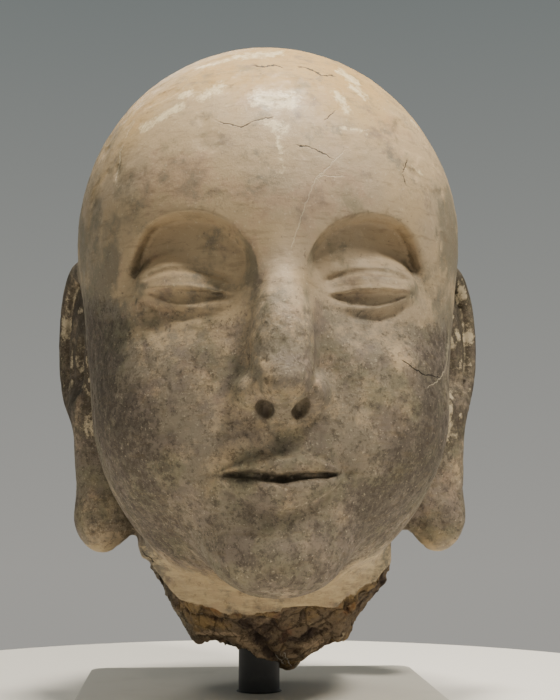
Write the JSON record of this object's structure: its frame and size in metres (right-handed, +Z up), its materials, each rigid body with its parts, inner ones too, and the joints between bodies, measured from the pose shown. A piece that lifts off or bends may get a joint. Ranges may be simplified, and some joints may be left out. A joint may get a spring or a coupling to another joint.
{
  "type": "monk head sculpture",
  "caption": "Carved stone head of a shaven-headed monk with long-lobed ears, broken off at the neck and held up on a steel rod with a flat foot.",
  "frame": {"origin": "on the support rod's axis, at the underside of the foot plate", "axes": "+Z up, -Y the way the face looks, +X to the right for someone who looks at the face"},
  "size_m": [0.355, 0.3998, 0.528],
  "materials": {
    "limestone": "carved limestone, stained and rubbed",
    "blackened_steel": "matt black",
    "painted_steel": "matt off-white paint"
  },
  "bodies": {
    "root": {"head": "limestone", "support_rod": "blackened_steel", "foot_plate": "painted_steel"}
  },
  "joints": []
}
